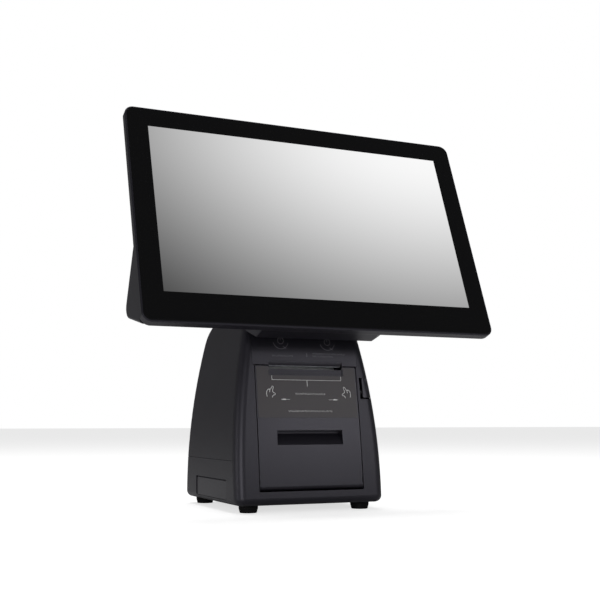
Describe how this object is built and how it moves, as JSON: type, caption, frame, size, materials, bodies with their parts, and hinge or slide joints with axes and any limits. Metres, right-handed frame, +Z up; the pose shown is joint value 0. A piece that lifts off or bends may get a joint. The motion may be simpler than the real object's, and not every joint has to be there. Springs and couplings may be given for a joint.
{
  "type": "point of sale terminal",
  "caption": "Touchscreen till terminal: flat tilting display on a hinge at the top of a tapered base that holds a roll printer behind a front door.",
  "frame": {"origin": "on the counter under the middle of the overall box, screen at its stored tilt and door shut", "axes": "+X to the right of the person facing the screen, +Y away from that person towards the back, +Z up"},
  "size_m": [0.391, 0.2169, 0.4183],
  "materials": {
    "cover_black": "fine matt texture",
    "door_black": "matt",
    "head_black": "satin",
    "screen_glass": "polished, black printed border",
    "display_panel": "dark panel in a steel tray",
    "label_film": "thin printed film",
    "grey_plastic": "satin",
    "gear_plastic": "natural acetal",
    "foot_rubber": "matt",
    "zinc_steel": "zinc plated sheet",
    "bright_steel": "ground",
    "spring_steel": "drawn wire",
    "port_metal": "tin plated shell",
    "port_plastic": "moulded",
    "circuit_board": "solder mask",
    "plate_metal": "black coated",
    "head_aluminium": "extruded",
    "washer_brass": "plain",
    "heater_ceramic": "glazed"
  },
  "bodies": {
    "base": {"base_tray": "cover_black", "base_screws": "bright_steel", "rubber_feet": "foot_rubber", "ballast_plate": "plate_metal", "cable_covers": "door_black", "body_shell": "cover_black", "top_cover": "cover_black", "front_bezel": "cover_black", "upper_panel": "door_black", "tear_bar_holder": "grey_plastic", "tear_blade": "bright_steel", "lid_hinge_pins": "bright_steel", "printer_chassis": "zinc_steel", "head_pivot": "bright_steel", "head_springs": "spring_steel", "stepper_motor": "plate_metal", "idler_pin": "bright_steel", "side_frames": "zinc_steel", "hinge_bracket": "zinc_steel", "power_supply": "plate_metal", "controller_board": "circuit_board", "io_board": "circuit_board", "io_plate": "zinc_steel", "lan_port": "port_metal", "drawer_port": "port_plastic", "usb_ports": "port_metal", "power_inlet": "port_plastic", "button_spring": "spring_steel"},
    "lid": {"paper_lid": "door_black", "lid_overlay": "label_film", "lid_lip": "grey_plastic", "lid_frame": "zinc_steel", "platen_bushings": "gear_plastic"},
    "platen": {"platen_roller": "foot_rubber", "platen_shaft": "bright_steel", "platen_gear": "gear_plastic"},
    "idler": {"idler_gear": "gear_plastic"},
    "pinion": {"motor_pinion": "gear_plastic", "motor_shaft": "bright_steel"},
    "print_head": {"head_carrier": "zinc_steel", "head_heat_sink": "head_aluminium", "heater_strip": "heater_ceramic"},
    "button": {"release_button": "door_black"},
    "head": {"display_glass": "screen_glass", "front_frame": "head_black", "lcd_module": "display_panel", "back_panel": "head_black", "rear_housing": "head_black", "neck_cover": "head_black", "tilt_bracket": "zinc_steel", "hinge_pins": "bright_steel", "friction_washers": "washer_brass", "hinge_nuts": "spring_steel", "main_board": "circuit_board", "heat_sink": "head_aluminium", "speakers": "plate_metal"},
    "power_key": {"power_button": "head_black"}
  },
  "joints": [
    {"name": "head_tilt", "type": "hinge", "parent": "base", "child": "head", "pos_m": [0, -0.0519, 0.20358], "axis": [1, 0, 0], "range_deg": [-39.25, 15.75]},
    {"name": "lid_open", "type": "hinge", "parent": "base", "child": "lid", "pos_m": [0, -0.05822, 0.0266], "axis": [1, 0, 0], "range_deg": [0, 95]},
    {"name": "platen_spin", "type": "hinge", "parent": "lid", "child": "platen", "pos_m": [0, -0.0365, 0.1415], "axis": [1, 0, 0], "continuous": true},
    {"name": "idler_spin", "type": "hinge", "parent": "base", "child": "idler", "pos_m": [-0.05, -0.01606, 0.13764], "axis": [1, 0, 0], "continuous": true},
    {"name": "pinion_spin", "type": "hinge", "parent": "base", "child": "pinion", "pos_m": [-0.05, -0.0002, 0.14846], "axis": [1, 0, 0], "continuous": true},
    {"name": "release_press", "type": "slide", "parent": "base", "child": "button", "axis": [-1, 0, 0], "range_m": [0, 0.003], "stiffness_N_per_m": 1200, "springref_m": -0.001, "deforming": ["button_spring"]},
    {"name": "head_lift", "type": "hinge", "parent": "base", "child": "print_head", "pos_m": [0, -0.024, 0.16], "axis": [1, 0, 0], "range_deg": [0, 3.3], "deforming": ["head_springs"]},
    {"name": "power_press", "type": "slide", "parent": "head", "child": "power_key", "axis": [0, -0.2267, 0.974], "range_m": [0, 0.0015], "stiffness_N_per_m": 800, "springref_m": -0.0005}
  ],
  "couplings": [
    {"joint": "idler_spin", "follows": "platen_spin", "ratio": -0.44444},
    {"joint": "pinion_spin", "follows": "platen_spin", "ratio": 1.3333},
    {"joint": "head_lift", "follows": "release_press", "rad_per_m": 18.6}
  ]
}
